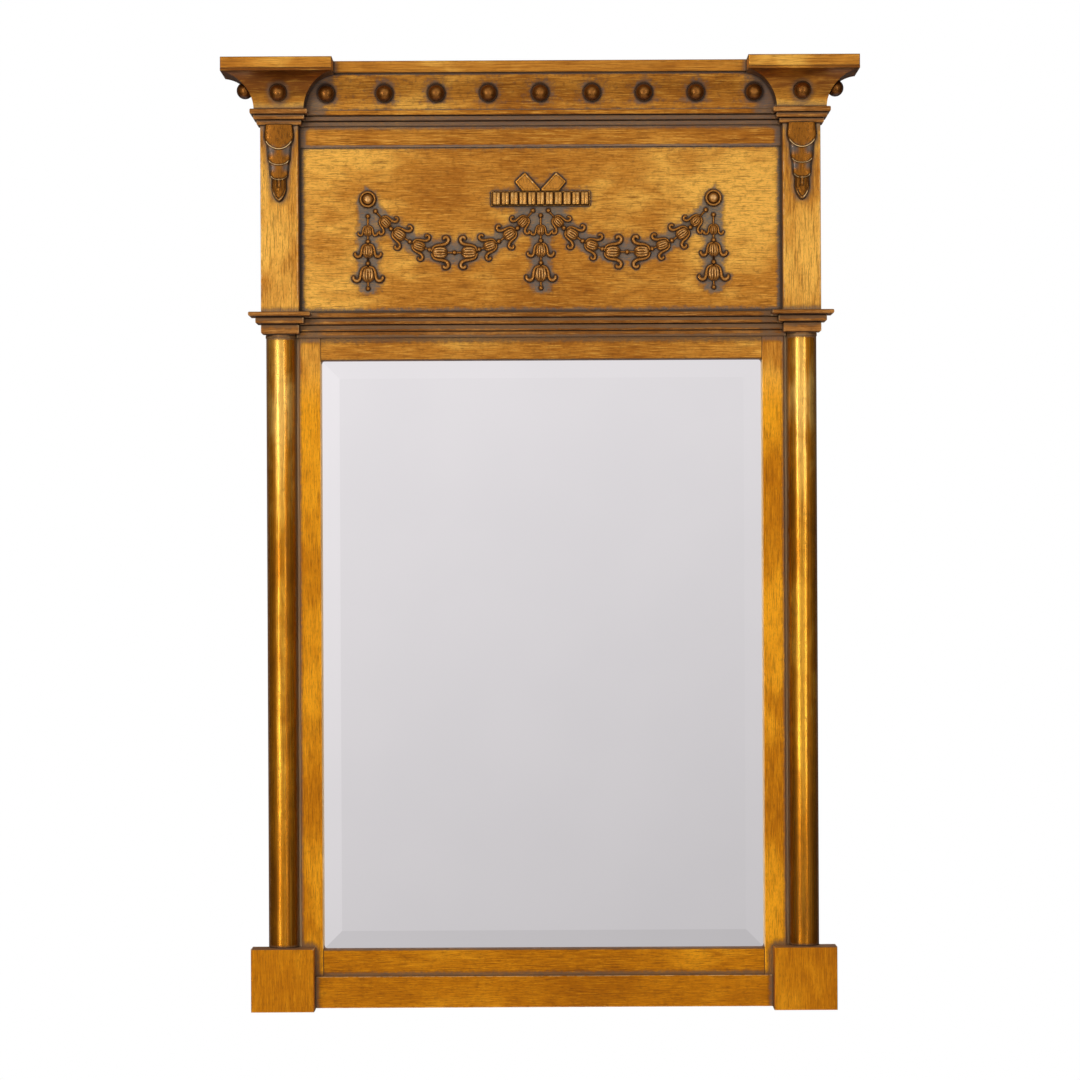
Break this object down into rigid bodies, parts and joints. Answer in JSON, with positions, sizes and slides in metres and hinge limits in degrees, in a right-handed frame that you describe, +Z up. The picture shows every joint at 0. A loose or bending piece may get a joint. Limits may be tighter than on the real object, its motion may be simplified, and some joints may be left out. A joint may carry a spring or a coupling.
{
  "type": "wall mirror",
  "caption": "Gold-finished pillar wall mirror: bevelled glass, half-round side columns, swagged frieze and break-front cornice with balls, hung by a D-ring at each side",
  "frame": {"origin": "centre of the header board's flat back face, level with the D-rings' hinge axes", "axes": "+X to the right of someone who faces the glass, +Y out of the back into the wall, +Z up"},
  "size_m": [0.7112, 0.087, 1.0669],
  "materials": {
    "gilt_wood": "brushed antique gold paint with a grey-brown wash in the recesses",
    "gilt_ornament": "moulded wood composition, antique gold paint with dark recesses",
    "carcass_wood": "planed softwood, bare",
    "dowel_wood": "fluted beech, bare",
    "mirror_glass": "silvered, bevelled, polished",
    "backing": "brown hardboard",
    "steel": "zinc plated",
    "hanger_metal": "brass plated, satin",
    "rubber": "matte black"
  },
  "bodies": {
    "frame": {"carcass_stile_left": "carcass_wood", "carcass_stile_right": "carcass_wood", "header_board": "carcass_wood", "carcass_foot_rail": "carcass_wood", "retaining_strips": "carcass_wood", "corner_dowels": "dowel_wood", "mirror_glass": "mirror_glass", "backing_board": "backing", "strip_pins": "steel", "face_screws": "steel", "sight_stile_left": "gilt_wood", "sight_stile_right": "gilt_wood", "base_block_left": "gilt_wood", "base_block_right": "gilt_wood", "column_left": "gilt_wood", "column_right": "gilt_wood", "capital_left": "gilt_wood", "capital_right": "gilt_wood", "pilaster_left": "gilt_wood", "pilaster_right": "gilt_wood", "neck_moulding_left": "gilt_wood", "neck_moulding_right": "gilt_wood", "corner_core_left": "gilt_wood", "corner_core_right": "gilt_wood", "cove_front_left": "gilt_wood", "cove_front_right": "gilt_wood", "cove_outer_left": "gilt_wood", "cove_outer_right": "gilt_wood", "cove_inner_left": "gilt_wood", "cove_inner_right": "gilt_wood", "cap_board_left": "gilt_wood", "cap_board_right": "gilt_wood", "sight_rail_top": "gilt_wood", "sight_rail_bottom": "gilt_wood", "plinth_rail": "gilt_wood", "entablature_moulding": "gilt_wood", "frieze_panel": "gilt_wood", "frieze_top_band": "gilt_wood", "neck_moulding_middle": "gilt_wood", "cove_middle": "gilt_wood", "cap_board_middle": "gilt_wood", "cornice_balls": "gilt_wood", "corner_balls": "gilt_wood", "garland_left": "gilt_ornament", "garland_right": "gilt_ornament", "bellflower_drop_left": "gilt_ornament", "bellflower_drop_right": "gilt_ornament", "husk_drop_left": "gilt_ornament", "husk_drop_right": "gilt_ornament", "bellflower_drop_middle": "gilt_ornament", "rosettes": "gilt_ornament", "ribbon_bar": "gilt_ornament", "bow": "gilt_ornament", "hanger_strap_left": "hanger_metal", "hanger_strap_right": "hanger_metal", "hanger_screws": "hanger_metal", "wall_bumpers": "rubber"},
    "ring_left": {"d_ring_left": "hanger_metal"},
    "ring_right": {"d_ring_right": "hanger_metal"}
  },
  "joints": [
    {"name": "ring_left_turn", "type": "hinge", "parent": "frame", "child": "ring_left", "pos_m": [-0.2805, 0.0036, 0], "axis": [1, 0, 0], "range_deg": [0, 180]},
    {"name": "ring_right_turn", "type": "hinge", "parent": "frame", "child": "ring_right", "pos_m": [0.2805, 0.0036, 0], "axis": [1, 0, 0], "range_deg": [0, 180]}
  ]
}
